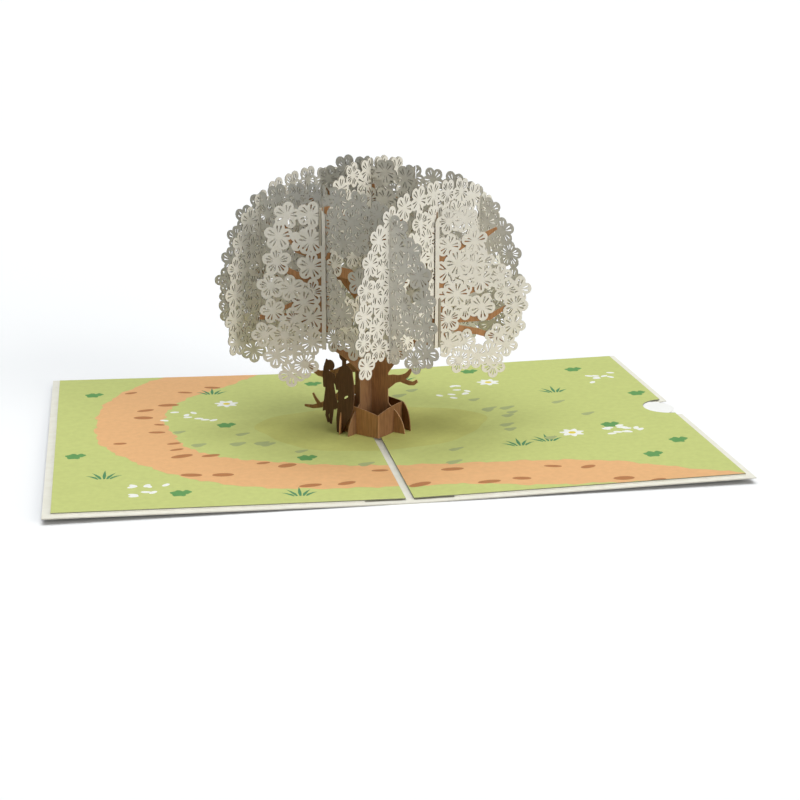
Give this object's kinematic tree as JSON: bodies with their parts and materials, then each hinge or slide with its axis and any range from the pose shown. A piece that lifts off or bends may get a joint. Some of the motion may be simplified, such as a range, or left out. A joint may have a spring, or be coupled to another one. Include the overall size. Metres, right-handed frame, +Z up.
{
  "type": "pop up card",
  "caption": "Open greeting card with a slotted paper blossom tree standing from its fold, a printed lawn, a small cut out couple and a note card that slides from a pocket.",
  "frame": {"origin": "middle of the spine, on the surface that the card stands on", "axes": "+X towards the right panel, +Y towards the back edge of the card, +Z up along the tree"},
  "size_m": [0.254, 0.178, 0.1096],
  "materials": {
    "cover_card": "matt cream card, smooth, with crisp cut edges",
    "note_paper": "matt off-white paper",
    "printed_card": "matt card printed with a green lawn, a tan path, stones and daisies",
    "tape": "white double sided tape",
    "cream_paper": "matt cream paper, cut through",
    "brown_card": "matt brown card with a lighter cut edge",
    "dark_brown_card": "matt dark brown card"
  },
  "bodies": {
    "root": {"blossom_back_left": "cream_paper", "blossom_back_right": "cream_paper", "blossom_front_left": "cream_paper", "blossom_front_right": "cream_paper", "branch_back_left": "brown_card", "branch_back_right": "brown_card", "branch_front_left": "brown_card", "branch_front_right": "brown_card", "couple": "dark_brown_card", "cover": "cover_card", "crown_a_far": "cream_paper", "crown_a_near": "cream_paper", "crown_b_far": "cream_paper", "crown_b_near": "cream_paper", "lawn_left": "printed_card", "lawn_right": "printed_card", "root_ring_back": "brown_card", "root_ring_front": "brown_card", "spray_back_left": "cream_paper", "spray_back_right": "cream_paper", "spray_front_left": "cream_paper", "spray_front_right": "cream_paper", "tape_left_back": "tape", "tape_left_front": "tape", "tape_left_inner": "tape", "tape_left_outer": "tape", "tape_right_back": "tape", "tape_right_front": "tape", "tape_right_inner": "tape", "trunk_sheet_a": "brown_card", "trunk_sheet_b": "brown_card"},
    "note": {"note_card": "note_paper"}
  },
  "joints": [
    {"name": "note_slide", "type": "slide", "parent": "root", "child": "note", "axis": [0.9999, 0, 0.0166], "range_m": [0, 0.075]}
  ]
}
